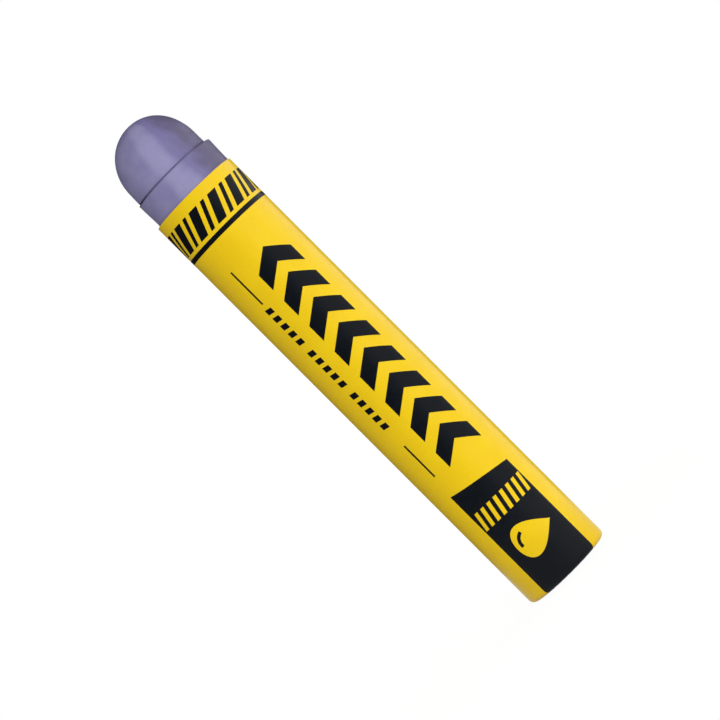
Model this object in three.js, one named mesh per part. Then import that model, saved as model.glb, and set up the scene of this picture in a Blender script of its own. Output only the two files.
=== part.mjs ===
// Solid paint marker: a bullet-tipped stick of solid paint in a push-up tube of rolled paper.
//
// Millimetres. Z is the marker's own axis, towards the marking tip. The origin is the centre of the tube's
// rear end, on the plane that its folded hem stands on. The printed front of the label faces -Y.
//
// The tube is rolled from four sheets, and its rear end is folded inwards with all of them. The cup behind
// the paint stands in that fold. A fingertip or a rod in the cup pushes it and the stick forward.
import * as THREE from "three";

// Paint stick
const stickRadius = 9.35;
const stickBaseRadius = 0.4;
const collarLength = 5.7;
const collarEdgeRadius = 0.3;
const ledgeWidth = 0.5;
const flankHeight = 3.9;
const flankDraft = 0.3;
const collarSetOver = 0.12;
const domeSetOver = -0.15;
const rootGrooveDepth = 0.2;
const rootGrooveHeight = 0.3;

// Film of dried paint over all that stands out of the tube
const skinThickness = 0.2;
const skinLift = 0.01;
const skinEdgeGap = 0.15;

// Sheets of the tube
const tubeLength = 102.5;
const runningClearance = 0.04;
const linerThickness = 0.05;
const boardThickness = 0.09;
const labelThickness = 0.08;
const glueLine = 0.01;
const buttGap = 0.3;
const labelLap = 4;

// Hem at the rear end
const hemCornerRadius = 0.65;
const hemLand = 0.8;
const hemLipRadius = 0.3;
const hemHeight = 2.4;

// Follower cup
const cupHeight = 9;
const cupWall = 0.8;
const cupFloor = 1;
const cupFillet = 1.2;
const cupEdgeRadius = 0.3;
const gateRadius = 0.9;
const gateHeight = 0.35;
const beadHeight = 1.2;
const beadProud = 0.2;
const cupSeatGap = 0.05;
const stickSeatGap = 0.02;

// Facets
const sides = 48;
const domeSteps = 9;
const edgeSteps = 2;
const cornerSteps = 3;
const filletSteps = 4;

// Where each sheet starts round the tube, in sides counted from +X towards +Y
const labelStart = 12;
const outerBoardStart = 24;
const innerBoardStart = 36;
const linerStart = 0;

// Depths in the tube's wall, outwards from the bore
const boreRadius = stickRadius + runningClearance;
const innerBoardDepth = linerThickness + glueLine;
const outerBoardDepth = innerBoardDepth + boardThickness + glueLine;
const labelDepth = outerBoardDepth + boardThickness + glueLine;
const wall = labelDepth + labelThickness;

// Heights of what stacks up in the tube and stands out of it
const cupBottom = wall + cupSeatGap;
const cupTop = cupBottom + cupHeight;
const stickBottom = cupTop + stickSeatGap;
const skinBottom = tubeLength + skinEdgeGap;
const ledge = tubeLength + collarLength;

// Dome of the tip, on the collar's ledge
const domeRootRadius = stickRadius - ledgeWidth;
const domeRadius = domeRootRadius - flankDraft;

const turn = 2 * Math.PI;
const halfTurn = Math.PI;
const quarterTurn = Math.PI / 2;
const sideAngle = turn / sides;

// Points of a round stretch from one angle to another, both ends included.
function arc(centreR, centreZ, radius, from, to, steps) {
  const curve = new THREE.EllipseCurve(centreR, centreZ, radius, radius, from, to, to < from);
  return curve.getPoints(steps);
}

// A solid of revolution about Z. Each point of the profile makes a ring, and a point with a setOver moves its
// ring that far along X.
function revolve(profile) {
  const geometry = new THREE.LatheGeometry(profile, sides);
  const position = geometry.attributes.position;
  for (let i = 0; i < position.count; i++) {
    const { setOver = 0 } = profile[i % profile.length];
    position.setX(i, position.getX(i) + setOver);
  }
  return geometry.rotateX(quarterTurn);
}

// The tip's outline from a foot on the collar up to the apex, as far inside its surface as inset says. The
// collar and the dome's root are cast a little off the axis, to opposite sides, so their rings are set over.
// The dome comes back to the axis at its apex.
function tipOutline(foot, inset) {
  const collar = stickRadius - inset;
  const root = domeRootRadius - inset;
  const groove = root - rootGrooveDepth;
  const shoulder = ledge - inset;
  const dome = [
    new THREE.Vector2(groove, shoulder),
    new THREE.Vector2(groove, ledge + rootGrooveHeight / 2),
    new THREE.Vector2(root, ledge + rootGrooveHeight),
    ...arc(0, ledge + flankHeight, domeRadius - inset, 0, quarterTurn, domeSteps),
  ];
  dome.at(-1).x = 0;
  for (const point of dome) point.setOver = domeSetOver * (point.x / root);
  const edge = collarEdgeRadius;
  const side = [
    new THREE.Vector2(collar, foot),
    ...arc(collar - edge, shoulder - edge, edge, 0, quarterTurn, edgeSteps),
  ];
  for (const point of side) point.setOver = collarSetOver;
  return [...side, ...dome];
}

function paintStick() {
  const neck = skinBottom - skinLift;
  const base = stickBaseRadius;
  return revolve([
    new THREE.Vector2(0, stickBottom),
    ...arc(stickRadius - base, stickBottom + base, base, -quarterTurn, 0, edgeSteps),
    new THREE.Vector2(stickRadius, neck),
    ...tipOutline(neck, skinThickness + skinLift),
  ]);
}

function driedSkin() {
  return revolve([...tipOutline(skinBottom, skinThickness).reverse(), ...tipOutline(skinBottom, 0)]);
}

// The cup opens to the rear. Two beads round its wall seal it in the bore, and the stub of its moulding gate
// stands in the middle of the recess.
function followerCup() {
  const bead = stickRadius;
  const skirt = bead - beadProud;
  const inside = skirt - cupWall;
  const ceiling = cupTop - cupFloor;
  const rim = hemCornerRadius;
  const edge = cupEdgeRadius;
  return revolve([
    new THREE.Vector2(0, ceiling - gateHeight),
    new THREE.Vector2(gateRadius, ceiling - gateHeight),
    new THREE.Vector2(gateRadius, ceiling),
    ...arc(inside - cupFillet, ceiling - cupFillet, cupFillet, quarterTurn, 0, filletSteps),
    new THREE.Vector2(inside, cupBottom),
    ...arc(bead - rim, cupBottom + rim, rim, -quarterTurn, 0, cornerSteps),
    new THREE.Vector2(bead, cupBottom + rim + beadHeight),
    new THREE.Vector2(skirt, cupBottom + rim + beadHeight + beadProud),
    new THREE.Vector2(skirt, cupTop - edge - beadHeight - beadProud),
    new THREE.Vector2(bead, cupTop - edge - beadHeight),
    ...arc(bead - edge, cupTop - edge, edge, 0, quarterTurn, edgeSteps),
    new THREE.Vector2(0, cupTop),
  ]);
}

// The tube's outline from its mouth down the wall and round the hem to the end of the lip, at a depth
// outwards from the bore. Outlines at different depths lie parallel all the way.
function tubeOutline(wallDepth, hemDepth) {
  const cornerR = boreRadius - hemCornerRadius;
  const lipR = cornerR - hemLand;
  const corner = hemCornerRadius + hemDepth;
  const lip = hemLipRadius + hemDepth;
  return [
    new THREE.Vector2(boreRadius + wallDepth, tubeLength),
    new THREE.Vector2(boreRadius + wallDepth, wall + hemCornerRadius),
    ...arc(cornerR, wall + hemCornerRadius, corner, 0, -quarterTurn, cornerSteps).slice(1),
    ...arc(lipR, wall + hemLipRadius, lip, -quarterTurn, -halfTurn, cornerSteps),
    new THREE.Vector2(lipR - lip, hemHeight),
  ];
}

// A sheet's section at an angle from its first edge, outer face first. Where the sheet laps over itself, the
// wall holds two layers, and the fold presses both into the space of one, so that the tube stands flat.
function sheetSection(angle, lap, depth, thickness) {
  const over = angle > turn - 1e-6;
  const under = lap > 0 && angle < lap + sideAngle;
  const wallDepth = over ? depth + thickness + glueLine : depth;
  const pressed = (thickness - glueLine) / 2;
  const hemInner = over ? depth + pressed + glueLine : depth;
  const hemOuter = under ? depth + pressed : depth + thickness;
  return [...tubeOutline(wallDepth + thickness, hemOuter), ...tubeOutline(wallDepth, hemInner).reverse()];
}

// How far out a point lies on a side of the tube's polygon, as a share of a corner's distance.
function onSide(angle) {
  const past = angle - sideAngle * Math.floor(angle / sideAngle + 1e-6);
  return Math.cos(sideAngle / 2) / Math.cos(past - sideAngle / 2);
}

// A sheet rolled once round the axis, at a depth in the wall. It starts at a corner of the polygon. A lap is
// the width that covers the sheet's own first edge, and a negative one is a gap between the two edges.
function rolledSheet(start, lap, depth, thickness) {
  const lapAngle = lap / (boreRadius + depth);
  const sweep = turn + lapAngle;
  const columns = Math.ceil(sweep / sideAngle - 1e-6) + 1;
  const positions = [];
  for (let i = 0; i < columns; i++) {
    const angle = Math.min(i * sideAngle, sweep);
    const along = start * sideAngle + angle;
    for (const { x, y } of sheetSection(angle, lapAngle, depth, thickness)) {
      const radius = x * onSide(angle);
      positions.push(radius * Math.cos(along), radius * Math.sin(along), y);
    }
  }
  const around = positions.length / 3 / columns;
  const faces = [];
  for (let i = 0; i < columns - 1; i++) {
    for (let j = 0; j < around; j++) {
      const a = i * around + j;
      const b = i * around + ((j + 1) % around);
      faces.push(a, b, b + around, a, b + around, a + around);
    }
  }
  const last = (columns - 1) * around;
  for (let j = 0; j < around / 2 - 1; j++) {
    const far = around - 1 - j;
    faces.push(j, far, far - 1, j, far - 1, j + 1);
    faces.push(last + j, last + far - 1, last + far, last + j, last + j + 1, last + far - 1);
  }
  const geometry = new THREE.BufferGeometry();
  geometry.setAttribute("position", new THREE.Float32BufferAttribute(positions, 3));
  geometry.setIndex(faces);
  geometry.computeVertexNormals();
  return geometry;
}

function mesh(name, geometry, color, roughness) {
  const made = new THREE.Mesh(geometry, new THREE.MeshStandardMaterial({ color, roughness, metalness: 0 }));
  made.name = name;
  return made;
}

function tube() {
  const liner = rolledSheet(linerStart, -buttGap, 0, linerThickness);
  const innerBoard = rolledSheet(innerBoardStart, -buttGap, innerBoardDepth, boardThickness);
  const outerBoard = rolledSheet(outerBoardStart, -buttGap, outerBoardDepth, boardThickness);
  const label = rolledSheet(labelStart, labelLap, labelDepth, labelThickness);
  return new THREE.Group().add(
    mesh("bore_liner", liner, 0xe4dcc4, 0.45),
    mesh("inner_board_ply", innerBoard, 0xb08a5c, 0.85),
    mesh("outer_board_ply", outerBoard, 0xb08a5c, 0.85),
    mesh("printed_label", label, 0xf5cc14, 0.4),
  );
}

function stick() {
  return new THREE.Group().add(
    mesh("paint_stick", paintStick(), 0x7d76a8, 0.5),
    mesh("dried_skin", driedSkin(), 0x8b85b4, 0.6),
    mesh("follower_cup", followerCup(), 0xeeeeea, 0.4),
  );
}

export default new THREE.Group().add(tube(), stick());
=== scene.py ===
"""The looks of a solid paint marker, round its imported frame.

A domed stick of violet solid paint stands in a push-up tube. The tube is rolled from four sheets of paper,
and the outermost is a glossy printed label. Lengths are in metres. Z is the marker's own axis, towards the
marking tip. Angles round it count from +X towards +Y, and the printed front of the label faces -Y.
"""

import logging
import math
from collections.abc import Sequence
from dataclasses import dataclass, field, replace
from enum import Enum
from itertools import chain, pairwise
from typing import Any

import bmesh
import bpy
import numpy as np
from mathutils import Matrix, Vector, noise
from mathutils.geometry import delaunay_2d_cdt


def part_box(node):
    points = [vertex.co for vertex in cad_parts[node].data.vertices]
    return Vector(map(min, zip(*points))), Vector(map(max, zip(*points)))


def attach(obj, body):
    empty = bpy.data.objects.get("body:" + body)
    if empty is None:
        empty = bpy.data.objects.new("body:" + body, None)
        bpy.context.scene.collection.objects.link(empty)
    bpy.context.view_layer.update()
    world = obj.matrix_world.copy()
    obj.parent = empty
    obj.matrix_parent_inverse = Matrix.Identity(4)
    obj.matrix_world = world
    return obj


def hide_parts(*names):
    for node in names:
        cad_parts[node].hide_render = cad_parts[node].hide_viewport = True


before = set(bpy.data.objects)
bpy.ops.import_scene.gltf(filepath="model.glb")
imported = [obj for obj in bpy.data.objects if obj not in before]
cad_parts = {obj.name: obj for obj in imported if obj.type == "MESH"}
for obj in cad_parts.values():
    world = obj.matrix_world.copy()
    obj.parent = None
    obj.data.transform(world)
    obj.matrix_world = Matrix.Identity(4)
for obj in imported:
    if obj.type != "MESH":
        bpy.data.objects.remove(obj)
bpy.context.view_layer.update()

log = logging.getLogger("paint_marker")

MM = 0.001
SAME_PLACE = 1e-8

Triple = tuple[float, float, float]
Colour = Triple
Pair = tuple[float, float]
Path = list[Pair]
Socket = bpy.types.NodeSocket

WHITE: Colour = (1.0, 1.0, 1.0)


class Body(Enum):
    """The bodies that the pieces ride on."""

    TUBE = "tube"
    STICK = "stick"


class Slot(Enum):
    """The record's material slots."""

    SOLID_PAINT = "solid_paint"
    DRIED_PAINT = "dried_paint"
    CUP_PLASTIC = "cup_plastic"
    LINER_PAPER = "liner_paper"
    KRAFT_BOARD = "kraft_board"
    LABEL_PAPER = "label_paper"
    LABEL_INK = "label_ink"


# Nodes of the finishes


@dataclass(frozen=True)
class Grain:
    """Soft random cells: how wide one is, how many finer layers it holds and how strong these are.

    Cells run short along an axis whose squeeze is above 1, and long where it is below 1.
    """

    size: float
    detail: float = 2.0
    roughness: float = 0.5
    squeeze: Triple = (1.0, 1.0, 1.0)


class NodeSheet:
    """The node tree of a material or a world while it is laid out."""

    def __init__(self, owner: bpy.types.Material | bpy.types.World) -> None:
        """Takes a tree and empties it.

        Args:
            owner: What the tree belongs to.
        """
        owner.use_nodes = True
        self.tree = owner.node_tree
        self.tree.nodes.clear()
        self.grains: dict[Grain, Socket] = {}

    def add(self, kind: str, inputs: dict[str | int, Any] | None = None, **settings: Any) -> bpy.types.Node:
        """Adds a node.

        Args:
            kind: The node's type name.
            inputs: What goes into its sockets, as values or as sockets to link.
            settings: Properties of the node itself.

        Returns:
            The new node.
        """
        node = self.tree.nodes.new(kind)
        for name, value in settings.items():
            setattr(node, name, value)
        for name, value in (inputs or {}).items():
            socket = node.inputs[name]
            if isinstance(value, Socket):
                self.tree.links.new(value, socket)
            else:
                socket.default_value = (*value, 1.0) if socket.type == "RGBA" else value
        return node

    def place(self, squeeze: Triple) -> Socket:
        """Gives the point on the piece, in metres and scaled along each axis, which moves with the piece."""
        place = self.add("ShaderNodeTexCoord").outputs["Object"]
        return self.add("ShaderNodeVectorMath", {0: place, 1: squeeze}, operation="MULTIPLY").outputs[0]

    def math(self, operation: str, *values: Socket | float) -> Socket:
        """Works out one number from up to three values or sockets."""
        return self.add("ShaderNodeMath", dict(enumerate(values)), operation=operation).outputs[0]

    def grain(self, grain: Grain) -> Socket:
        """Draws a grain, each one once on a sheet.

        Args:
            grain: The grain.

        Returns:
            A socket with a number from 0 to 1, mostly near the middle.
        """
        if grain not in self.grains:
            inputs = {"Scale": 1 / grain.size, "Detail": grain.detail, "Roughness": grain.roughness}
            inputs["Vector"] = self.place(grain.squeeze)
            self.grains[grain] = self.add("ShaderNodeTexNoise", inputs).outputs["Fac"]
        return self.grains[grain]

    def spread(
        self, value: Socket, low: float, high: float, to_low: float = 0.0, to_high: float = 1.0
    ) -> Socket:
        """Spreads a number smoothly from one range over another, and stops at its ends."""
        inputs = {"Value": value, "From Min": low, "From Max": high, "To Min": to_low, "To Max": to_high}
        return self.add("ShaderNodeMapRange", inputs, interpolation_type="SMOOTHSTEP").outputs["Result"]

    def tint(self, share: Socket, under: Socket | Colour, over: Socket | Colour) -> Socket:
        """Lays a share of one colour over another."""
        return self.add("ShaderNodeMix", {0: share, 6: under, 7: over}, data_type="RGBA").outputs[2]

    def mix(self, share: Socket, first: bpy.types.Node, second: bpy.types.Node) -> bpy.types.Node:
        """Mixes two shaders."""
        return self.add("ShaderNodeMixShader", {0: share, 1: first.outputs[0], 2: second.outputs[0]})

    def end(self, surface: bpy.types.Node, kind: str = "ShaderNodeOutputMaterial") -> None:
        """Ends the sheet with its output."""
        self.add(kind, {"Surface": surface.outputs[0]})

    def paths(self) -> tuple[Any, Socket]:
        """Gives the light's paths, and whether the camera sees the place, straight or through glass."""
        paths = self.add("ShaderNodeLightPath").outputs
        return paths, self.math("MAXIMUM", paths["Is Camera Ray"], paths["Is Transmission Ray"])


# Finishes


@dataclass(frozen=True)
class Coat:
    """A colour over another: none of it where its grain is low, and the most where the grain is high."""

    colour: Colour
    grain: Grain
    low: float
    high: float
    most: float = 1.0
    finer: Grain | None = None
    finer_share: float = 0.35


@dataclass(frozen=True, kw_only=True)
class Finish:
    """A surface: a pale ground under coats, a roughness that follows the rubbed grain, and reliefs."""

    name: str
    pale: Colour
    rubbed: Grain
    roughness: Pair
    reliefs: tuple[tuple[Grain, float], ...]
    coats: tuple[Coat, ...] = ()
    rubbed_range: Pair = (0.3, 0.7)
    shine: float = 0.4

    def ground(self, sheet: NodeSheet) -> Socket | Colour:
        """Gives the colour that lies under the coats."""
        return self.pale

    def material(self) -> bpy.types.Material:
        """Makes the material.

        Returns:
            The material, with its nodes.
        """
        material = bpy.data.materials.new(self.name)
        sheet = NodeSheet(material)
        colour = self.ground(sheet)
        for coat in self.coats:
            height = sheet.grain(coat.grain)
            if coat.finer is not None:
                rest = sheet.math("MULTIPLY", height, 1 - coat.finer_share)
                height = sheet.math("MULTIPLY_ADD", sheet.grain(coat.finer), coat.finer_share, rest)
            share = sheet.spread(height, coat.low, coat.high, 0.0, coat.most)
            colour = sheet.tint(share, colour, coat.colour)
        roughness = sheet.spread(sheet.grain(self.rubbed), *self.rubbed_range, *self.roughness)
        normal: dict[str, Socket] = {}
        for grain, depth in self.reliefs:
            bump = {"Height": sheet.grain(grain), "Distance": depth, "Strength": 1.0, **normal}
            normal = {"Normal": sheet.add("ShaderNodeBump", bump).outputs["Normal"]}
        inputs = {"Base Color": colour, "Roughness": roughness, "Specular IOR Level": self.shine, **normal}
        sheet.end(sheet.add("ShaderNodeBsdfPrincipled", inputs))
        return material


RINGS = Grain(3.2 * MM, 5.0, 0.65, (1.0, 1.0, 14.0))
DRAGS = Grain(3.5 * MM, 4.0, 0.6, (9.0, 9.0, 0.5))
WAX_GRAIN = Grain(0.35 * MM, 3.0, 0.6)
WAX_GRAIN_DEPTH = 0.006 * MM


@dataclass(frozen=True, kw_only=True)
class PaintWax(Finish):
    """Solid paint: pigment in oil and wax, satin and a little blotchy, with turned rings and specks of dirt.

    Its palest tone runs in three streaks along the stick, one of them down the front: a painted highlight.
    One side is bluer and duller than the other: painted shade, with the other side a little paler.
    Both fade out towards the middle of the crown.
    """

    blue: Colour
    dull: Colour
    painted_light_contrast: float
    rubbed: Grain = RINGS
    coats: tuple[Coat, ...] = (Coat((0.16, 0.1, 0.15), Grain(0.5 * MM, 2.0, 0.6), 0.66, 0.76, 0.22),)
    # The front and the fields up to the fade place the painted highlight streaks and the painted shade on
    # one side.
    front: float = math.radians(-86)
    streaks: float = 3.0
    painted_highlight_strength: float = 0.6
    shaded_side_turn: float = math.radians(16)
    painted_side_shade_strength: Pair = (0.38, -0.88)
    fade: float = 7 * MM
    drift: Grain = Grain(9 * MM)
    drift_strength: float = 0.3
    blotch: Grain = Grain(4 * MM, 3.0)
    blotch_strength: float = 0.9
    ring_strength: float = 0.12

    def tone(self, sheet: NodeSheet) -> Socket:
        """Works out how pale the paint is: random blotches, a painted highlight and painted shade on one
        side.

        Args:
            sheet: The sheet.

        Returns:
            A socket with the tone, from about -1 where it is dull to 1 where it is pale.
        """
        level = sheet.place((1.0, 1.0, 0.0))
        axes = sheet.add("ShaderNodeSeparateXYZ", {0: level}).outputs
        angle = sheet.math("ARCTAN2", axes["Y"], axes["X"])
        drift = sheet.math("SUBTRACT", sheet.grain(self.drift), 0.5)
        from_front = sheet.math("SUBTRACT", angle, self.front)
        turned = sheet.math("MULTIPLY_ADD", drift, self.drift_strength, from_front)
        # Painted highlight: a pale streak down the front, and two more round the stick.
        waved = sheet.math("COSINE", sheet.math("MULTIPLY", turned, self.streaks))
        painted_highlight = sheet.spread(waved, 0.3, 1.0, 0.0, self.painted_highlight_strength)
        # Painted shade: one side darker and duller, the other side a little paler.
        toward_shaded_side = sheet.math("SINE", sheet.math("SUBTRACT", turned, self.shaded_side_turn))
        side = sheet.spread(toward_shaded_side, -0.45, 0.5, *self.painted_side_shade_strength)
        off_axis = sheet.add("ShaderNodeVectorMath", {0: level}, operation="LENGTH").outputs["Value"]
        away = sheet.spread(off_axis, 0.0, self.fade, 0.0, self.painted_light_contrast)
        painted_highlight_and_shade = sheet.math("MULTIPLY", sheet.math("ADD", painted_highlight, side), away)
        blotch = sheet.math("SUBTRACT", sheet.grain(self.blotch), 0.5)
        return sheet.math("MULTIPLY_ADD", blotch, self.blotch_strength, painted_highlight_and_shade)

    def ground(self, sheet: NodeSheet) -> Socket:
        """Lays out the tones, with the turned rings a little duller.

        Args:
            sheet: The sheet.

        Returns:
            A socket with the colour.
        """
        tone = self.tone(sheet)
        colour = sheet.tint(sheet.spread(tone, -1.0, -0.35), self.dull, self.blue)
        colour = sheet.tint(sheet.spread(tone, -0.25, 1.0), colour, self.pale)
        ringed = sheet.spread(sheet.grain(self.rubbed), 0.4, 0.75, 0.0, self.ring_strength)
        return sheet.tint(ringed, colour, self.dull)


@dataclass(frozen=True)
class PaleFloor:
    """The floor: matte and pale to the light, and nearly all white to the camera.

    The rest of its own shade stays in what the camera sees, and keeps the marker's shadow.
    """

    name: str = "pale_floor"
    pale: Colour = (0.84, 0.84, 0.84)
    paler: Colour = (0.88, 0.88, 0.88)
    clouds: Grain = Grain(30 * MM)
    white_strength: float = 1.1
    seen_share: float = 0.82
    mirrored_share: float = 0.3

    def material(self) -> bpy.types.Material:
        """Makes the material.

        Returns:
            The material, with its nodes.
        """
        material = bpy.data.materials.new(self.name)
        sheet = NodeSheet(material)
        paths, seen = sheet.paths()
        mirrored = sheet.math("MULTIPLY", paths["Is Glossy Ray"], self.mirrored_share)
        share = sheet.math("MULTIPLY_ADD", seen, self.seen_share, mirrored)
        colour = sheet.tint(sheet.grain(self.clouds), self.pale, self.paler)
        matte = sheet.add("ShaderNodeBsdfDiffuse", {"Color": colour})
        white = sheet.add("ShaderNodeEmission", {"Color": WHITE, "Strength": self.white_strength})
        sheet.end(sheet.mix(share, matte, white))
        return material


def bare_paper(name: str, pale: Colour, dark: Colour, fibre: float) -> Finish:
    """Describes paper with nothing printed on it: short fibres that lie round the tube, and darker flecks.

    Args:
        name: The finish's name.
        pale: The colour between the fibres.
        dark: The colour of fibres and flecks.
        fibre: How long a fibre is.

    Returns:
        The finish.
    """
    fibres = Grain(fibre, 5.0, 0.65, (1.0, 1.0, 3.5))
    flecks = Grain(2.4 * fibre, 3.0, 0.7, (1.0, 1.0, 2.0))
    return Finish(
        name=name,
        pale=pale,
        coats=(Coat(dark, fibres, 0.35, 0.7), Coat(dark, flecks, 0.6, 0.75, 0.5)),
        rubbed=fibres,
        roughness=(0.78, 0.9),
        reliefs=((fibres, 0.02 * MM),),
        shine=0.3,
    )


LABEL_BACK = bare_paper("label_back", (0.8, 0.79, 0.74), (0.66, 0.64, 0.57), 0.22 * MM)
KRAFT = bare_paper("kraft_board", (0.5, 0.33, 0.17), (0.33, 0.195, 0.085), 0.35 * MM)
PALE_FLOOR = PaleFloor()

# Yellow coated paper under a clear varnish, and blue-black ink printed solid on it
PAPER_ROLL = (Grain(1.6 * MM, 3.0), 0.004 * MM)
LABEL_MOTTLE = Grain(5 * MM, 4.0)
LABEL_GRAIN = Grain(0.25 * MM)
LABEL_GLOSS = Finish(
    name="label_gloss",
    pale=(0.93, 0.635, 0.007),
    coats=(Coat((0.9, 0.6, 0.005), LABEL_MOTTLE, 0.35, 0.65, finer=LABEL_GRAIN),),
    rubbed=LABEL_MOTTLE,
    roughness=(0.24, 0.31),
    reliefs=(PAPER_ROLL, (LABEL_GRAIN, 0.0008 * MM)),
    shine=0.24,
)
INK_MOTTLE = Grain(1.2 * MM, 5.0, 0.6)
PRINT_INK = Finish(
    name="print_ink",
    pale=(0.0036, 0.0056, 0.0092),
    coats=(Coat((0.0046, 0.0068, 0.011), INK_MOTTLE, 0.4, 0.7),),
    rubbed=INK_MOTTLE,
    roughness=(0.33, 0.41),
    reliefs=(PAPER_ROLL,),
    shine=0.2,
)

# Lining of the bore: dense tan paper, oily in clouds, with streaks of paint that the stick has left
PAINT_STREAKS = Grain(3 * MM, 4.0, 0.6, (3.0, 3.0, 0.12))
GREASEPROOF = Finish(
    name="greaseproof_paper",
    pale=(0.74, 0.66, 0.48),
    coats=(
        Coat((0.52, 0.44, 0.28), Grain(7 * MM, 4.0, 0.6), 0.35, 0.7),
        Coat((0.3, 0.27, 0.46), PAINT_STREAKS, 0.5, 0.68, 0.75),
    ),
    rubbed=PAINT_STREAKS,
    rubbed_range=(0.4, 0.7),
    roughness=(0.5, 0.38),
    reliefs=((Grain(0.3 * MM, 4.0, 0.6, (1.0, 1.0, 3.0)), 0.008 * MM),),
)

# Moulded plastic of the follower cup: flow clouds, a smear of paint, and turning marks from the mould
FLOW_CLOUDS = Grain(4 * MM, 4.0)
MILKY_PLASTIC = Finish(
    name="milky_plastic",
    pale=(0.82, 0.81, 0.76),
    coats=(
        Coat((0.7, 0.69, 0.65), FLOW_CLOUDS, 0.35, 0.7),
        Coat((0.5, 0.47, 0.66), Grain(2.5 * MM, 5.0, 0.65, (1.0, 1.0, 0.4)), 0.58, 0.72, 0.3),
    ),
    rubbed=FLOW_CLOUDS,
    roughness=(0.31, 0.46),
    reliefs=((Grain(2 * MM, 3.0, squeeze=(1.0, 1.0, 20.0)), 0.006 * MM), (Grain(0.3 * MM), 0.004 * MM)),
    shine=0.5,
)

# The dried film, painted shade for its crease, and the fresh paint under it
DRIED_FILM = PaintWax(
    name="dried_film",
    pale=(0.32, 0.3, 0.515),
    blue=(0.2, 0.18, 0.375),
    dull=(0.125, 0.107, 0.2),
    painted_light_contrast=1.0,
    roughness=(0.45, 0.57),
    reliefs=((RINGS, 0.01 * MM), (DRAGS, 0.002 * MM), (WAX_GRAIN, WAX_GRAIN_DEPTH)),
)
# Painted shade: a darker, duller copy of the film for the groove at the root of the dome.
CREASE_SHADE = replace(
    DRIED_FILM,
    name="painted_crease_shade",
    pale=(0.205, 0.185, 0.33),
    blue=(0.21, 0.19, 0.34),
    dull=(0.095, 0.082, 0.155),
    painted_light_contrast=0.7,
    roughness=(0.6, 0.72),
)
FRESH_PAINT = PaintWax(
    name="fresh_paint",
    pale=(0.26, 0.24, 0.5),
    blue=(0.2, 0.18, 0.41),
    dull=(0.15, 0.13, 0.3),
    painted_light_contrast=0.4,
    roughness=(0.33, 0.45),
    reliefs=((RINGS, 0.004 * MM), (DRAGS, 0.02 * MM), (WAX_GRAIN, WAX_GRAIN_DEPTH)),
)


# Shapes


def arc(centre: Pair, radius: float, start: float, end: float, steps: int) -> Path:
    """Draws a round stretch between two angles in degrees, 0 away from the axis and 90 upwards."""
    turns = np.radians(np.linspace(start, end, steps + 1))
    return [(centre[0] + radius * math.cos(a), centre[1] + radius * math.sin(a)) for a in turns]


def crown_arc(foot: float, radius: float, height: float, fullness: float, steps: int) -> Path:
    """Draws a crown's outline, from its side up to the axis.

    Args:
        foot: The height of its foot.
        radius: The crown's radius at its foot.
        height: How high it stands over its foot.
        fullness: 2 for a plain ellipse, and more for a fuller one.
        steps: How many steps the outline takes.

    Returns:
        The points, as radius and height.
    """
    turns = np.linspace(0, math.pi / 2, steps + 1)
    out = radius * np.cos(turns) ** (2 / fullness)
    up = foot + height * np.sin(turns) ** (2 / fullness)
    out[-1] = 0.0
    return list(zip(out.tolist(), up.tolist(), strict=True))


def line(steps: int, *corners: Pair) -> Path:
    """Draws straight stretches from corner to corner, each in so many steps."""
    return [tuple(point) for pair in pairwise(corners) for point in np.linspace(*pair, steps + 1)]


def joined(*stretches: Path) -> np.ndarray:
    """Joins stretches into one outline, in which no point comes twice in a row."""
    points = np.array(list(chain(*stretches)))
    return points[np.append(True, np.linalg.norm(np.diff(points, axis=0), axis=1) > SAME_PLACE)]


def waves(points: np.ndarray, size: float, shift: float) -> np.ndarray:
    """Gives points soft random heights from -1 to 1, in waves of one size. A shift moves the pattern."""
    flat = points.reshape(-1, 3) / size + shift
    return np.array([noise.noise(Vector(point)) for point in flat]).reshape(points.shape[:-1])


@dataclass
class Solid:
    """Points and faces of one piece while it is built. Each face has the number of its finish."""

    points: list[Triple] = field(default_factory=list)
    faces: list[tuple[int, ...]] = field(default_factory=list)
    finishes: list[int] = field(default_factory=list)

    def add_points(self, points: np.ndarray) -> np.ndarray:
        """Adds points in rows.

        Args:
            points: The points, with their three coordinates last.

        Returns:
            Their numbers, in the same rows.
        """
        numbers = np.arange(len(self.points), len(self.points) + points[..., 0].size)
        self.points.extend(map(tuple, points.reshape(-1, 3)))
        return numbers.reshape(points.shape[:-1])

    def add_patch(self, numbers: np.ndarray, finish: int | np.ndarray = 0, round_trip: bool = False) -> None:
        """Covers rows of points with faces.

        Args:
            numbers: The points' numbers, in rows.
            finish: The finish of the faces, or of each row of faces.
            round_trip: Whether the last column joins the first.
        """
        rows, columns = numbers.shape
        finishes = np.broadcast_to(finish, rows)
        for i in range(rows - 1):
            for j in range(columns if round_trip else columns - 1):
                k = (j + 1) % columns
                self.faces.append((numbers[i, j], numbers[i, k], numbers[i + 1, k], numbers[i + 1, j]))
                self.finishes.append(finishes[i])

    def mesh(self, name: str, sharp: float = 40.0) -> bpy.types.Mesh:
        """Makes a smooth mesh.

        Args:
            name: The mesh's name.
            sharp: The least angle of an edge that stays sharp, in degrees.

        Returns:
            The mesh, its doubled points merged and its faces turned outwards.
        """
        mesh = bpy.data.meshes.new(name)
        mesh.from_pydata(self.points, [], self.faces)
        mesh.polygons.foreach_set("material_index", self.finishes)
        made = bmesh.new()
        made.from_mesh(mesh)
        bmesh.ops.remove_doubles(made, verts=made.verts, dist=SAME_PLACE)
        bmesh.ops.recalc_face_normals(made, faces=made.faces)
        made.to_mesh(mesh)
        made.free()
        mesh.shade_smooth()
        mesh.set_sharp_from_angle(angle=math.radians(sharp))
        return mesh


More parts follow.
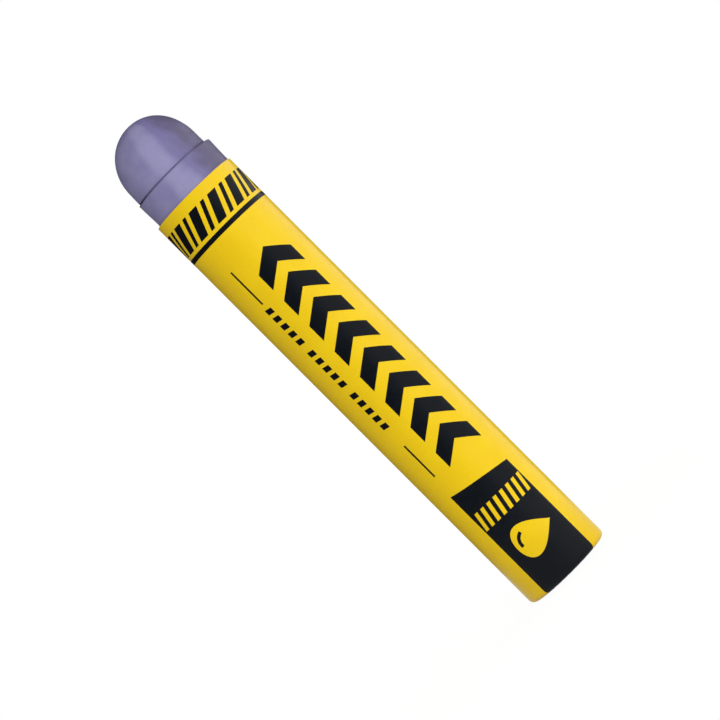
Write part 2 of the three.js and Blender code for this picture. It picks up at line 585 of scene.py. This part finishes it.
def revolved(
    outline: np.ndarray, sides: int, set_over: float | np.ndarray = 0.0, finish: int | np.ndarray = 0
) -> Solid:
    """Turns an outline about the axis.

    Args:
        outline: Radius and height of each ring, from axis to axis.
        sides: How many sides each ring has.
        set_over: How far each ring is moved along X.
        finish: The finish of all faces, or of the faces after each ring.

    Returns:
        The closed solid.
    """
    angles = np.arange(sides) * math.tau / sides
    rings = np.empty((len(outline), sides, 3))
    rings[..., 0] = outline[:, :1] * np.cos(angles) + np.reshape(set_over, (-1, 1))
    rings[..., 1] = outline[:, :1] * np.sin(angles)
    rings[..., 2] = outline[:, 1:]
    solid = Solid()
    solid.add_patch(solid.add_points(rings), finish, round_trip=True)
    return solid


def add_piece(
    mesh: bpy.types.Mesh,
    materials: Sequence[bpy.types.Material],
    body: Body,
    node: str | None = None,
) -> None:
    """Puts a finished mesh into the scene as a piece of the marker.

    Args:
        mesh: The mesh, whose name the piece takes.
        materials: Its materials, in the order of the finishes' numbers.
        body: The body that it rides on.
        node: The CAD node that it stands for.
    """
    for material in materials:
        mesh.materials.append(material)
    piece = bpy.data.objects.new(mesh.name, mesh)
    bpy.context.scene.collection.objects.link(piece)
    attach(piece, body.value)
    if node is not None:
        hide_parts(node)
    log.info("%s: %d faces, rides on the %s", piece.name, len(mesh.polygons), body.value)


def wall_at_front(node: str) -> Pair:
    """Measures a sheet at the mouth of the tube, on the printed side.

    Args:
        node: The sheet's CAD node.

    Returns:
        Its inner and its outer radius.
    """
    near = 0.01 * MM
    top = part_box(node)[1].z
    corners = [v.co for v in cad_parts[node].data.vertices]
    radii = [-c.y for c in corners if c.z > top - near and c.y < 0 and abs(c.x) < near]
    return min(radii), max(radii)


# Sub-assemblies


@dataclass
class PaintStick:
    """The cast stick of solid paint, with the film of dried paint over all that stands out of the tube."""

    sides: int = 192
    base_radius: float = 0.4 * MM
    collar_edge: float = 0.3 * MM
    collar_flare: float = 0.05 * MM
    collar_draft: float = 0.14 * MM
    ledge_width: float = 0.58 * MM
    ledge_step: float = 0.02 * MM
    ledge_below_apex: float = 12.55 * MM
    flank_draft: float = 0.04 * MM
    crown_height: float = 9.6 * MM
    crown_fullness: float = 2.05
    collar_set_over: float = 0.16 * MM
    dome_set_over: float = -0.19 * MM
    groove_depth: float = 0.3 * MM
    groove_height: float = 0.54 * MM
    groove_edge: float = 0.05 * MM
    groove_chamfer: float = 0.04 * MM
    crease_margin: float = 0.02 * MM
    root_edge: float = 0.12 * MM
    film: float = 0.2 * MM
    lift: float = 0.01 * MM
    unevenness: float = 0.035 * MM
    broad_waves: float = 6.5 * MM
    small_waves: float = 2.6 * MM

    def __post_init__(self) -> None:
        """Reads the stick's radius and heights from the frame."""
        low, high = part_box("paint_stick")
        film_low, film_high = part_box("dried_skin")
        self.radius = high.x
        self.bottom = low.z
        self.film_bottom = film_low.z
        self.apex = film_high.z
        self.ledge = self.apex - self.ledge_below_apex

    def tip_outline(self, foot: float, inset: float) -> tuple[np.ndarray, np.ndarray]:
        """Draws the tip from its foot up the collar, over the ledge and the dome to the axis.

        Args:
            foot: The height that it starts at.
            inset: How far inside the film's surface it lies.

        Returns:
            The outline, and how far each of its rings is set over.
        """
        edge, corner = self.collar_edge, self.root_edge
        shoulder = self.ledge - inset
        collar = self.radius + self.collar_flare - inset
        root = self.radius - self.ledge_width - inset
        groove = root - self.groove_depth
        groove_top = self.ledge + self.groove_height
        middle = self.ledge + self.groove_height / 2
        crown = root - self.flank_draft
        crown_foot = self.apex - self.crown_height
        side = joined(
            line(14, (collar - self.collar_draft, foot), (collar, shoulder - edge)),
            arc((collar - edge, shoulder - edge), edge, 0, 90, 6),
        )
        dome = joined(
            line(2, (collar - edge - self.ledge_step, shoulder), (groove + self.groove_edge, shoulder)),
            line(2, (groove, shoulder + self.groove_chamfer), (groove, middle)),
            arc((root - corner, middle + corner), corner, -60, 0, 3),
            line(10, (root, groove_top + self.groove_edge), (crown, crown_foot)),
            crown_arc(crown_foot, crown, self.crown_height - inset, self.crown_fullness, 48),
        )
        dome_shift = self.dome_set_over * (dome[:, 0] / root) ** 3
        shifts = np.concatenate([np.full(len(side), self.collar_set_over), dome_shift])
        return np.concatenate([side, dome]), shifts

    def wear(self, film: Solid) -> None:
        """Gives the film its soft unevenness, which fades out within a millimetre of its lower edge.

        Args:
            film: The film, whose points are moved.
        """
        small_share, sunk = 0.5, 0.5
        points = np.array(film.points)
        small = waves(points, self.small_waves, 7.7)
        height = waves(points, self.broad_waves, 3.1) + small_share * small
        share = np.clip((points[:, 2] - self.film_bottom) / MM, 0, 1)
        centre = np.array([0.0, 0.0, self.apex - self.radius])
        away = points - np.where(points[:, 2:] > centre[2], centre, points * [0, 0, 1])
        away /= np.maximum(np.linalg.norm(away, axis=1), SAME_PLACE)[:, None]
        points += away * (share * self.unevenness * (height - sunk))[:, None]
        film.points = [tuple(point) for point in points]

    def build_film(self) -> None:
        """Builds the dried film: a closed shell over collar and dome, with painted shade in the crease
        between.
        """
        outer, outer_shift = self.tip_outline(self.film_bottom, 0.0)
        inner, inner_shift = self.tip_outline(self.film_bottom, self.film)
        # The faces deep in the groove take the painted crease shade.
        over_ledge = outer[:, 1] - self.ledge
        creased = (over_ledge > 0) & (over_ledge < self.groove_height)
        creased &= outer[:, 0] < self.radius - self.ledge_width - self.crease_margin
        crease_shaded = np.concatenate([np.zeros(len(inner), int), creased.astype(int)])
        shifts = np.concatenate([inner_shift[::-1], outer_shift])
        film = revolved(np.concatenate([inner[::-1], outer]), self.sides, shifts, crease_shaded)
        self.wear(film)
        materials = [DRIED_FILM.material(), CREASE_SHADE.material()]
        add_piece(film.mesh("tip_film", 50), materials, Body.STICK, "dried_skin")

    def build_core(self) -> None:
        """Builds the stick itself, from its seat on the cup to the dome under the film."""
        neck = self.film_bottom - self.lift
        tip, tip_shift = self.tip_outline(neck, self.film + self.lift)
        base = self.base_radius
        shaft = joined(
            line(4, (0.0, self.bottom), (self.radius - base, self.bottom)),
            arc((self.radius - base, self.bottom + base), base, -90, 0, 6),
            line(60, (self.radius, self.bottom + base), (self.radius, neck)),
        )
        shifts = np.concatenate([np.zeros(len(shaft)), tip_shift])
        core = revolved(np.concatenate([shaft, tip]), self.sides, shifts)
        mesh = core.mesh("paint_core")
        add_piece(mesh, [FRESH_PAINT.material()], Body.STICK, "paint_stick")

    def build(self) -> None:
        """Builds both pieces."""
        self.build_core()
        self.build_film()


@dataclass
class FollowerCup:
    """The plug behind the paint: a moulded cup that opens to the rear, with two sealing beads."""

    sides: int = 160
    wall: float = 0.8 * MM
    floor: float = 1 * MM
    fillet: float = 1.2 * MM
    rim: float = 0.8 * MM
    rim_chamfer: float = 0.15 * MM
    edge: float = 0.3 * MM
    bead_height: float = 1.1 * MM
    bead_proud: float = 0.2 * MM
    gate_radius: float = 0.9 * MM
    gate_height: float = 0.35 * MM
    gate_chamfer: float = 0.1 * MM

    def build(self) -> None:
        """Builds the cup as one solid of revolution, with the mark of its moulding gate in the recess."""
        low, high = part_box("follower_cup")
        bead, bottom, top = high.x, low.z, high.z
        skirt = bead - self.bead_proud
        inside = skirt - self.wall
        ceiling = top - self.floor
        gate, gate_low = self.gate_radius, ceiling - self.gate_height
        gate_edge = self.gate_chamfer
        lower_bead = bottom + self.rim + self.bead_height
        upper_bead = top - self.edge - self.bead_height
        slope = self.bead_proud
        outline = joined(
            line(2, (0.0, gate_low), (gate - gate_edge, gate_low)),
            line(2, (gate, gate_low + gate_edge), (gate, ceiling)),
            line(8, (gate, ceiling), (inside - self.fillet, ceiling)),
            arc((inside - self.fillet, ceiling - self.fillet), self.fillet, 90, 0, 8),
            line(8, (inside, ceiling - self.fillet), (inside, bottom + self.rim_chamfer)),
            line(2, (inside, bottom + self.rim_chamfer), (inside + self.rim_chamfer, bottom)),
            arc((bead - self.rim, bottom + self.rim), self.rim, -90, 0, 8),
            line(3, (bead, bottom + self.rim), (bead, lower_bead), (skirt, lower_bead + slope)),
            line(6, (skirt, lower_bead + slope), (skirt, upper_bead - slope)),
            line(3, (skirt, upper_bead - slope), (bead, upper_bead), (bead, top - self.edge)),
            arc((bead - self.edge, top - self.edge), self.edge, 0, 90, 5),
            line(4, (bead - self.edge, top), (0.0, top)),
        )
        mesh = revolved(outline, self.sides).mesh("push_cup", 35)
        add_piece(mesh, [MILKY_PLASTIC.material()], Body.STICK, "follower_cup")


@dataclass
class TubeShape:
    """The form that all four sheets share: the wall, the folded hem and the creases that folding makes."""

    wall_rows: int = 48
    corner_steps: int = 12
    hem_corner: float = 0.78 * MM
    hem_land: float = 0.8 * MM
    hem_lip: float = 0.3 * MM
    hem_height: float = 2.4 * MM
    creases: int = 34
    crease_sharpness: float = 1.5
    crease_wander: float = 1.7
    crease_depth: float = 0.04 * MM
    crease_run: float = 2.2 * MM
    lip_crease_depth: float = 0.11 * MM
    lip_crease_start: float = 2.6 * MM
    lip_crease_run: float = 1.2 * MM
    dents: float = 0.006 * MM
    dent_fade: float = 3 * MM
    crease_waves: float = 4 * MM
    dent_waves: float = 9 * MM
    print_room: float = 0.018 * MM

    def __post_init__(self) -> None:
        """Reads the wall from the frame."""
        self.bore = wall_at_front("bore_liner")[0]
        self.outside = wall_at_front("printed_label")[1]
        self.wall = self.outside - self.bore
        self.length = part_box("bore_liner")[1].z
        self.corner_r = self.bore - self.hem_corner
        self.lip_r = self.corner_r - self.hem_land
        self.bend = self.length - self.wall - self.hem_corner

    def outline(self, radius: float) -> np.ndarray:
        """Draws the wall at a radius from the mouth down, round the hem and up to the lip's end.

        Args:
            radius: The radius of the wall there.

        Returns:
            The outline. Outlines at different radii have as many points and lie parallel.
        """
        depth = radius - self.bore
        corner_z = self.wall + self.hem_corner
        lip_z = self.wall + self.hem_lip
        lip = self.hem_lip + depth
        return joined(
            line(self.wall_rows, (radius, self.length), (radius, corner_z)),
            arc((self.corner_r, corner_z), self.hem_corner + depth, 0, -90, self.corner_steps),
            line(4, (self.corner_r, self.wall - depth), (self.lip_r, self.wall - depth)),
            arc((self.lip_r, lip_z), lip, -90, -180, self.corner_steps),
            line(6, (self.lip_r - lip, lip_z), (self.lip_r - lip, self.hem_height)),
        )

    def normals_at(self, points: np.ndarray) -> np.ndarray:
        """Works out the way that the plain sheet faces, also round the rear corner and the lip.

        Args:
            points: Points on the sheet.

        Returns:
            A unit vector for each point.
        """
        radius = np.linalg.norm(points[:, :2], axis=1)
        in_lip = radius < self.lip_r
        out = np.where(in_lip, radius - self.lip_r, np.maximum(radius - self.corner_r, 0))
        turning = self.wall + np.where(in_lip, self.hem_lip, self.hem_corner)
        down = np.minimum(points[:, 2] - turning, 0)
        flat = points[:, :2] / radius[:, None] * out[:, None]
        away = np.concatenate([flat, down[:, None]], axis=1)
        return away / np.linalg.norm(away, axis=1)[:, None]

    def dent(self, station: np.ndarray, angle: np.ndarray) -> np.ndarray:
        """Works out how far the sheets lie outside their plain form.

        Args:
            station: The way from the mouth.
            angle: The angle round the tube.

        Returns:
            The distance along the outline's normal, below 0 for inwards.
        """
        station, angle = np.broadcast_arrays(station, angle)
        around = np.stack([np.cos(angle), np.sin(angle), 0 * angle], axis=-1) * self.outside
        wander = self.crease_wander * waves(around, self.crease_waves, 5.3)
        crease = (1 - np.abs(np.sin(self.creases / 2 * angle + wander))) ** self.crease_sharpness
        past_bend = station - self.bend
        into_hem = np.clip(past_bend / self.crease_run, 0, 1)
        into_lip = np.clip((past_bend - self.lip_crease_start) / self.lip_crease_run, 0, 1)
        depth = self.crease_depth * into_hem**2 + (self.lip_crease_depth - self.crease_depth) * into_lip
        place = around + np.stack([0 * angle, 0 * angle, station], axis=-1)
        dents = np.clip(-past_bend / self.dent_fade, 0, 1) * self.dents * waves(place, self.dent_waves, 1.9)
        return dents - depth * crease - self.print_room * into_hem


@dataclass
class RolledSheet:
    """One sheet of the tube, rolled once round and folded in with the others."""

    shape: TubeShape
    node: str
    name: str
    start: float
    lap: float
    glue: float = 0.01 * MM
    step: float = math.radians(1.875)
    ramp: float = math.radians(7.5)
    press_run: float = 3 * MM

    def __post_init__(self) -> None:
        """Reads the sheet's radii from the frame, and draws its face and the way that it faces."""
        self.inner, self.outer = wall_at_front(self.node)
        self.thickness = self.outer - self.inner
        self.sweep = math.tau + self.lap / self.inner
        on_label = np.diff(self.shape.outline(self.shape.outside), axis=0)
        self.stations = np.concatenate([[0.0], np.cumsum(np.linalg.norm(on_label, axis=1))])
        face = self.shape.outline(self.outer)
        ahead = np.gradient(face, axis=0)
        ahead /= np.linalg.norm(ahead, axis=1)[:, None]
        self.drawn = np.stack([face[:, 0], face[:, 1], -ahead[:, 1], ahead[:, 0]])

    def lift(self, station: np.ndarray, turned: np.ndarray) -> tuple[np.ndarray, np.ndarray]:
        """Works out how the lap changes the sheet.

        Args:
            station: The way from the mouth.
            turned: The angle from the sheet's first edge.

        Returns:
            How far the face lies further out, and the share of the thickness that the fold leaves.
        """
        station, turned = np.broadcast_arrays(station, turned)
        if self.lap <= 0:
            return 0.0 * turned, 1.0 + 0.0 * turned
        climb = np.clip((turned - math.tau + self.ramp) / self.ramp, 0, 1)
        climb = climb * climb * (3 - 2 * climb)
        under = np.clip((self.sweep - math.tau + self.ramp - turned) / self.ramp, 0, 1)
        fold = np.clip((station - self.shape.bend) / self.press_run + 1, 0, 1)
        pressed = (self.thickness - self.glue) / 2
        out = climb * (1 - fold) * (self.thickness + self.glue) - under * fold * (pressed + self.glue)
        left = 1 - np.maximum(climb, under) * fold * (1 - pressed / self.thickness)
        return out, left

    def on_face(self, station: np.ndarray, turned: np.ndarray, rise: float | np.ndarray = 0.0) -> np.ndarray:
        """Finds points on the sheet's outer face.

        Args:
            station: The way from the mouth.
            turned: The angle from the sheet's first edge.
            rise: How far the points lie outside the face.

        Returns:
            The points, with their three coordinates last.
        """
        station, turned = np.broadcast_arrays(station, turned)
        angle = self.start + turned
        out = self.shape.dent(station, angle) + self.lift(station, turned)[0] + rise
        found = (np.interp(station, self.stations, row) for row in self.drawn)
        radius, height, normal_r, normal_z = found
        radius = radius + normal_r * out
        return np.stack([radius * np.cos(angle), radius * np.sin(angle), height + normal_z * out], axis=-1)

    def build(self, face: bpy.types.Material, back: bpy.types.Material, slot: Slot) -> None:
        """Builds the sheet.

        Args:
            face: The material of its outer face.
            back: The material of its inner face and its cut edges.
            slot: Not used. It names the record's slot for the sheet's finish.
        """
        slack = 1e-6
        columns = math.ceil(self.sweep / self.step - slack) + 1
        turned = np.minimum(np.arange(columns) * self.step, self.sweep)[None, :]
        station = self.stations[:, None]
        thickness = self.thickness * self.lift(station, turned)[1]
        solid = Solid()
        outside = solid.add_points(self.on_face(station, turned))
        inside = solid.add_points(self.on_face(station, turned, -thickness))
        solid.add_patch(outside, 0)
        solid.add_patch(inside, 1)
        for edge in (0, -1):
            solid.add_patch(np.stack([outside[edge], inside[edge]]), 1)
            solid.add_patch(np.stack([outside[:, edge], inside[:, edge]]), 1)
        add_piece(solid.mesh(self.name), [face, back], Body.TUBE, self.node)


@dataclass
class LabelPrint:
    """The ink on the label: plain bars, chevrons, rules and a panel with a drop.

    The artwork is drawn in millimetres on the flat label. The first coordinate runs from the mouth to the
    rear, and the second runs round the tube from the middle of the front towards +X.
    """

    label: RolledSheet
    rise: float = 0.012 * MM
    sink: float = 0.01 * MM
    row: float = 2.2
    corner_zone: float = 1.0
    margin: float = 0.1
    weld: float = 1e-5
    drop_centre: Pair = (92.2, 0.1)

    def __post_init__(self) -> None:
        """Makes the ink, and works out how the artwork lies and where it is cut across."""
        self.ink = PRINT_INK.material()
        self.radius = self.label.outer / MM
        self.column = self.label.step * self.radius
        self.girth = math.tau * self.radius
        self.cut_edge = self.label.sweep * self.radius - self.girth / 2
        self.stations = self.label.stations / MM
        straight = self.label.shape.length / MM - self.corner_zone
        plain = self.row * np.arange(1, straight / self.row)
        self.rows = np.concatenate([plain, self.stations[self.stations > straight]])

    def triangles(self, polygons: list[Path]) -> tuple[np.ndarray, list[tuple[int, int, int]]]:
        """Cuts the artwork into triangles that are narrow enough to follow the tube.

        Args:
            polygons: The ink's outlines. One that lies inside another is a hole in it.

        Returns:
            The points on the flat label, and the triangles.
        """
        corners = np.array(list(chain(*polygons)))
        points = [Vector(corner) for corner in corners]
        edges = []
        for polygon in polygons:
            first, count = len(edges), len(polygon)
            edges += [(first + i, first + (i + 1) % count) for i in range(count)]
        (low_u, low_v), (high_u, high_v) = corners.min(0) - self.margin, corners.max(0) + self.margin
        columns = np.arange(math.ceil(low_v / self.column), high_v / self.column) * self.column
        cuts = [((low_u, v), (high_u, v)) for v in columns]
        cuts += [((u, low_v), (u, high_v)) for u in self.rows if low_u < u < high_u]
        for cut in cuts:
            edges.append((len(points), len(points) + 1))
            points += map(Vector, cut)
        placed, _, found, *_ = delaunay_2d_cdt(points, edges, [], 0, self.weld, False)
        flat = np.array([tuple(point) for point in placed])
        inked = self.inside(np.array([flat[list(face)].mean(0) for face in found]), polygons)
        kept = [face for face, inside in zip(found, inked, strict=True) if inside]
        used = sorted(set(chain(*kept)))
        number = {old: new for new, old in enumerate(used)}
        return flat[used], [tuple(number[i] for i in face) for face in kept]

    @staticmethod
    def inside(points: np.ndarray, polygons: list[Path]) -> np.ndarray:
        """Finds the points that are inked.

        Args:
            points: Points on the flat label.
            polygons: The ink's outlines.

        Returns:
            Whether each point lies inside an odd number of them.
        """
        odd = np.zeros(len(points), bool)
        for polygon in polygons:
            for (u0, v0), (u1, v1) in pairwise([*polygon, polygon[0]]):
                if v0 != v1:
                    spans = (v0 > points[:, 1]) != (v1 > points[:, 1])
                    crossing = u0 + (points[:, 1] - v0) * (u1 - u0) / (v1 - v0)
                    odd ^= spans & (points[:, 0] < crossing)
        return odd

    def film(self, name: str, polygons: list[Path]) -> None:
        """Builds one film of ink on the label.

        Args:
            name: The piece's name.
            polygons: Its outlines on the flat label.
        """
        flat, faces = self.triangles(polygons)
        turned = math.pi + flat[:, 1] / self.radius
        station = flat[:, 0] * MM
        solid = Solid()
        top = solid.add_points(self.label.on_face(station, turned, self.rise))
        bottom = solid.add_points(self.label.on_face(station, turned, -self.sink))
        sides: dict[tuple[int, int], bool] = {}
        for a, b, c in faces:
            solid.faces += [(top[a], top[b], top[c]), (bottom[c], bottom[b], bottom[a])]
            for i, j in ((a, b), (b, c), (c, a)):
                if not sides.pop((j, i), False):
                    sides[i, j] = True
        solid.faces += [(top[j], top[i], bottom[i], bottom[j]) for i, j in sides]
        solid.finishes = [0] * len(solid.faces)
        mesh = solid.mesh(name, 60)
        corners = np.array([corner.co for corner in mesh.vertices])
        mesh.normals_split_custom_set_from_vertices(self.label.shape.normals_at(corners).tolist())
        add_piece(mesh, [self.ink], Body.TUBE)

    @staticmethod
    def block(top: float, foot: float, low: float, high: float, lean: float = 0.0) -> Path:
        """Outlines a block that leans along the tube, by so much for each millimetre round it."""
        return [(u + lean * v, v) for u, v in ((top, low), (foot, low), (foot, high), (top, high))]

    @staticmethod
    def bar(top: float, foot: float, place: float, width: float, shift: float) -> Path:
        """Outlines a bar that stands at a place round the tube, with its top shifted further round."""
        return [(top, place + shift), (foot, place), (foot, place + width), (top, place + width + shift)]

    def mouth_band(self) -> list[Path]:
        """Draws the band near the mouth: pairs of leaning bars all the way round, over a plain line.

        Returns:
            Its outlines.
        """
        top, foot = 2.5, 8.1
        line_top, line_foot = 8.85, 9.85
        wide, slim = (0.35, 2.15), (3.5, 0.95)
        pairs, tilt = 12, 0.42
        shift = tilt * (foot - top)
        pitch = self.girth / pairs
        start = self.cut_edge - self.girth
        shapes = []
        for i in range(pairs):
            for offset, width in (wide, slim):
                place = start + i * pitch + offset
                if place + width + shift < self.cut_edge - self.margin:
                    shapes.append(self.bar(top, foot, place, width, shift))
        return [*shapes, self.block(line_top, line_foot, start, self.cut_edge)]

    def chevrons(self) -> list[Path]:
        """Draws the row of big chevrons that point to the tip.

        Returns:
            Their outlines.
        """
        low, high = -2.3, 6.8
        middle = (low + high) / 2
        first, last, count = 17.0, 72.0, 8
        nose, stroke_share = 3.4, 0.58
        pitch = (last - first - nose) / (count - 1 + stroke_share)
        stroke = stroke_share * pitch
        shapes = []
        for i in range(count):
            u = first + i * pitch
            front = [(u + nose, low), (u, middle), (u + nose, high)]
            shapes.append(front + [(corner + stroke, v) for corner, v in front[::-1]])
        return shapes

    def rules(self) -> list[Path]:
        """Draws the two thin rules beside the small marks."""
        low, high, spans = -6.2, -5.8, ((16.15, 24.75), (62.95, 71.25))
        return [self.block(top, foot, low, high) for top, foot in spans]

    def small_marks(self) -> list[Path]:
        """Draws the small leaning marks between the rules, in three groups.

        Returns:
            Their outlines.
        """
        low, high, lean = -6.8, -5.2, 0.19
        count, pitch, length = 5, 2.05, 1.2
        tops = [group + pitch * i for group in (27.2, 38.6, 50.0) for i in range(count)]
        return [self.block(top, top + length, low, high, lean) for top in tops]

    def rear_panel(self) -> list[Path]:
        """Draws the black panel at the rear, with a row of slim bars and a drop left out of it.

        The panel goes on round the fold, nearly to the end of the lip.

        Returns:
            Its outlines.
        """
        low, high = -6.88, 7.12
        front, slant, lip_gap = 77.35, 0.17, 0.3
        foot = self.stations[-1] - lip_gap
        bar_top, bar_foot, bar_width, bar_shift = 81.7, 85.7, 0.85, 0.75
        bar_margin, bar_room, count = 0.4, 0.5, 8
        pitch = (high - low - bar_room) / count
        bars = [
            self.bar(bar_top, bar_foot, low + bar_margin + i * pitch, bar_width, bar_shift)
            for i in range(count)
        ]
        panel = [(front + slant * low, low), (foot, low), (foot, high), (front + slant * high, high)]
        return [panel, *bars, self.drop(), self.glint()]

    def drop(self) -> Path:
        """Draws the drop, with its point towards +X.

        Returns:
            Its outline.
        """
        half_width, half_height, taper, corners = 3.7, 4.5, 1.35, 44
        turns = np.linspace(0, math.tau, corners + 1)[:-1]
        swell = np.sin(turns) * np.sin(turns / 2) ** taper
        across = self.drop_centre[0] + half_width * swell / swell.max()
        up = self.drop_centre[1] + half_height * np.cos(turns)
        return list(zip(across.tolist(), up.tolist(), strict=True))

    def glint(self) -> Path:
        """Draws the curved glint inside the drop.

        Returns:
            Its outline.
        """
        outer, inner, down = 2.5, 1.8, 1.1
        start, end, steps = 195, 280, 15
        belly = (self.drop_centre[0], self.drop_centre[1] - down)
        return arc(belly, outer, start, end, steps) + arc(belly, inner, end, start, steps)

    def build(self) -> None:
        """Builds every film of ink."""
        self.film("ink_mouth_band", self.mouth_band())
        self.film("ink_chevrons", self.chevrons())
        self.film("ink_rules", self.rules())
        self.film("ink_small_marks", self.small_marks())
        self.film("ink_rear_panel", self.rear_panel())


@dataclass
class PaperTube:
    """The four sheets of the tube and the print on the outermost."""

    shape: TubeShape = field(default_factory=TubeShape)
    butt_gap: float = 0.3 * MM
    label_lap: float = 4 * MM

    def build(self) -> None:
        """Builds the sheets from the bore outwards, and then the print."""
        kraft = KRAFT.material()
        lining = GREASEPROOF.material()
        for node, name, start, back, slot in (
            ("bore_liner", "liner_sheet", 0.0, lining, Slot.LINER_PAPER),
            ("inner_board_ply", "inner_ply_sheet", 1.5 * math.pi, kraft, Slot.KRAFT_BOARD),
            ("outer_board_ply", "outer_ply_sheet", math.pi, kraft, Slot.KRAFT_BOARD),
        ):
            RolledSheet(self.shape, node, name, start, -self.butt_gap).build(kraft, back, slot)
        label = RolledSheet(self.shape, "printed_label", "label_sheet", 0.5 * math.pi, self.label_lap)
        label.build(LABEL_GLOSS.material(), LABEL_BACK.material(), Slot.LABEL_PAPER)
        LabelPrint(label).build()


@dataclass(frozen=True)
class Softbox:
    """A lamp that faces the marker. Its bearing counts in degrees from -Y towards +X, its power in watts."""

    name: str
    bearing: float
    width: float
    power: float
    in_gloss: bool = True
    tallness: float = 0.5
    distance: float = 0.9
    height: float = 0.1

    def add(self, aim: float) -> None:
        """Adds the lamp to the scene.

        Args:
            aim: The height on the marker's axis that it faces.
        """
        data = bpy.data.lights.new(self.name, "AREA")
        data.shape = "RECTANGLE"
        data.size = self.width
        data.size_y = self.tallness
        data.energy = self.power
        lamp = bpy.data.objects.new(self.name, data)
        bpy.context.scene.collection.objects.link(lamp)
        turn = math.radians(self.bearing)
        away = Vector((math.sin(turn) * self.distance, -math.cos(turn) * self.distance, self.height))
        lamp.location = away + Vector((0, 0, aim))
        lamp.rotation_euler = (-away).to_track_quat("-Z", "Y").to_euler()
        lamp.visible_camera = False
        lamp.visible_glossy = self.in_gloss


LAMPS = (
    Softbox("key_lamp", 10, 0.5, 3.8, in_gloss=False),
    Softbox("fill_lamp", 42, 0.7, 1.0),
    Softbox("side_lamp", 104, 1.3, 2.7),
)


@dataclass
class Studio:
    """Camera, floor, lamps and white surroundings."""

    distance: float = 0.606
    aim: Pair = (0.00002, 0.05712)
    roll: float = math.radians(44.973)
    lens: float = 156.6
    floor_radius: float = 0.12
    floor_sides: int = 96
    ambient: float = 0.45
    ambient_behind: float = 0.8
    ambient_in_gloss: float = 0.04
    backdrop: Pair = (0.97, 0.998)
    behind: Pair = (-0.1, 1.0)

    def add_camera(self) -> None:
        """Places the camera level with the marker's middle, rolled so that the marker lies aslant."""
        data = bpy.data.cameras.new("camera")
        data.lens = self.lens
        camera = bpy.data.objects.new("camera", data)
        bpy.context.scene.collection.objects.link(camera)
        cos, sin = math.cos(self.roll), math.sin(self.roll)
        right, up, back = Vector((cos, 0, -sin)), Vector((sin, 0, cos)), Vector((0, -1, 0))
        turn = Matrix((right, up, back)).transposed().to_4x4()
        camera.matrix_world = Matrix.Translation((self.aim[0], -self.distance, self.aim[1])) @ turn
        bpy.context.scene.camera = camera

    def add_floor(self) -> None:
        """Lays the pale floor that the marker stands on."""
        turns = np.arange(self.floor_sides) * math.tau / self.floor_sides
        rim = [(self.floor_radius * math.cos(a), self.floor_radius * math.sin(a), 0.0) for a in turns]
        mesh = bpy.data.meshes.new("floor")
        mesh.from_pydata(rim, [], [tuple(range(len(rim)))])
        mesh.materials.append(PALE_FLOOR.material())
        floor = bpy.data.objects.new("floor", mesh)
        bpy.context.scene.collection.objects.link(floor)

    def add_world(self) -> None:
        """Surrounds the scene with plain light, and with white where the camera looks past the marker."""
        world = bpy.data.worlds.new("surroundings")
        bpy.context.scene.world = world
        sheet = NodeSheet(world)
        paths, seen = sheet.paths()
        direction = sheet.add("ShaderNodeTexCoord").outputs["Generated"]
        ahead = sheet.add("ShaderNodeSeparateXYZ", {0: direction}).outputs["Y"]
        mirrored = sheet.math("MULTIPLY", paths["Is Glossy Ray"], sheet.spread(ahead, *self.backdrop))
        strength = sheet.spread(ahead, *self.behind, self.ambient, self.ambient_behind)
        lit = sheet.math("MULTIPLY", paths["Is Diffuse Ray"], strength)
        plain = sheet.math("MAXIMUM", lit, self.ambient_in_gloss)
        soft = sheet.add("ShaderNodeBackground", {"Color": WHITE, "Strength": plain})
        white = sheet.add("ShaderNodeBackground", {"Color": WHITE, "Strength": 1.0})
        sheet.end(sheet.mix(sheet.math("MAXIMUM", seen, mirrored), soft, white), "ShaderNodeOutputWorld")

    def build(self) -> None:
        """Sets up the whole studio."""
        bpy.context.scene.view_settings.view_transform = "Standard"
        self.add_camera()
        self.add_floor()
        for lamp in LAMPS:
            lamp.add(self.aim[1])
        self.add_world()


def main() -> None:
    """Builds the studio and the marker."""
    logging.basicConfig(level=logging.INFO, format="%(name)s: %(message)s")
    Studio().build()
    PaintStick().build()
    FollowerCup().build()
    PaperTube().build()


if __name__ == "__main__":
    main()
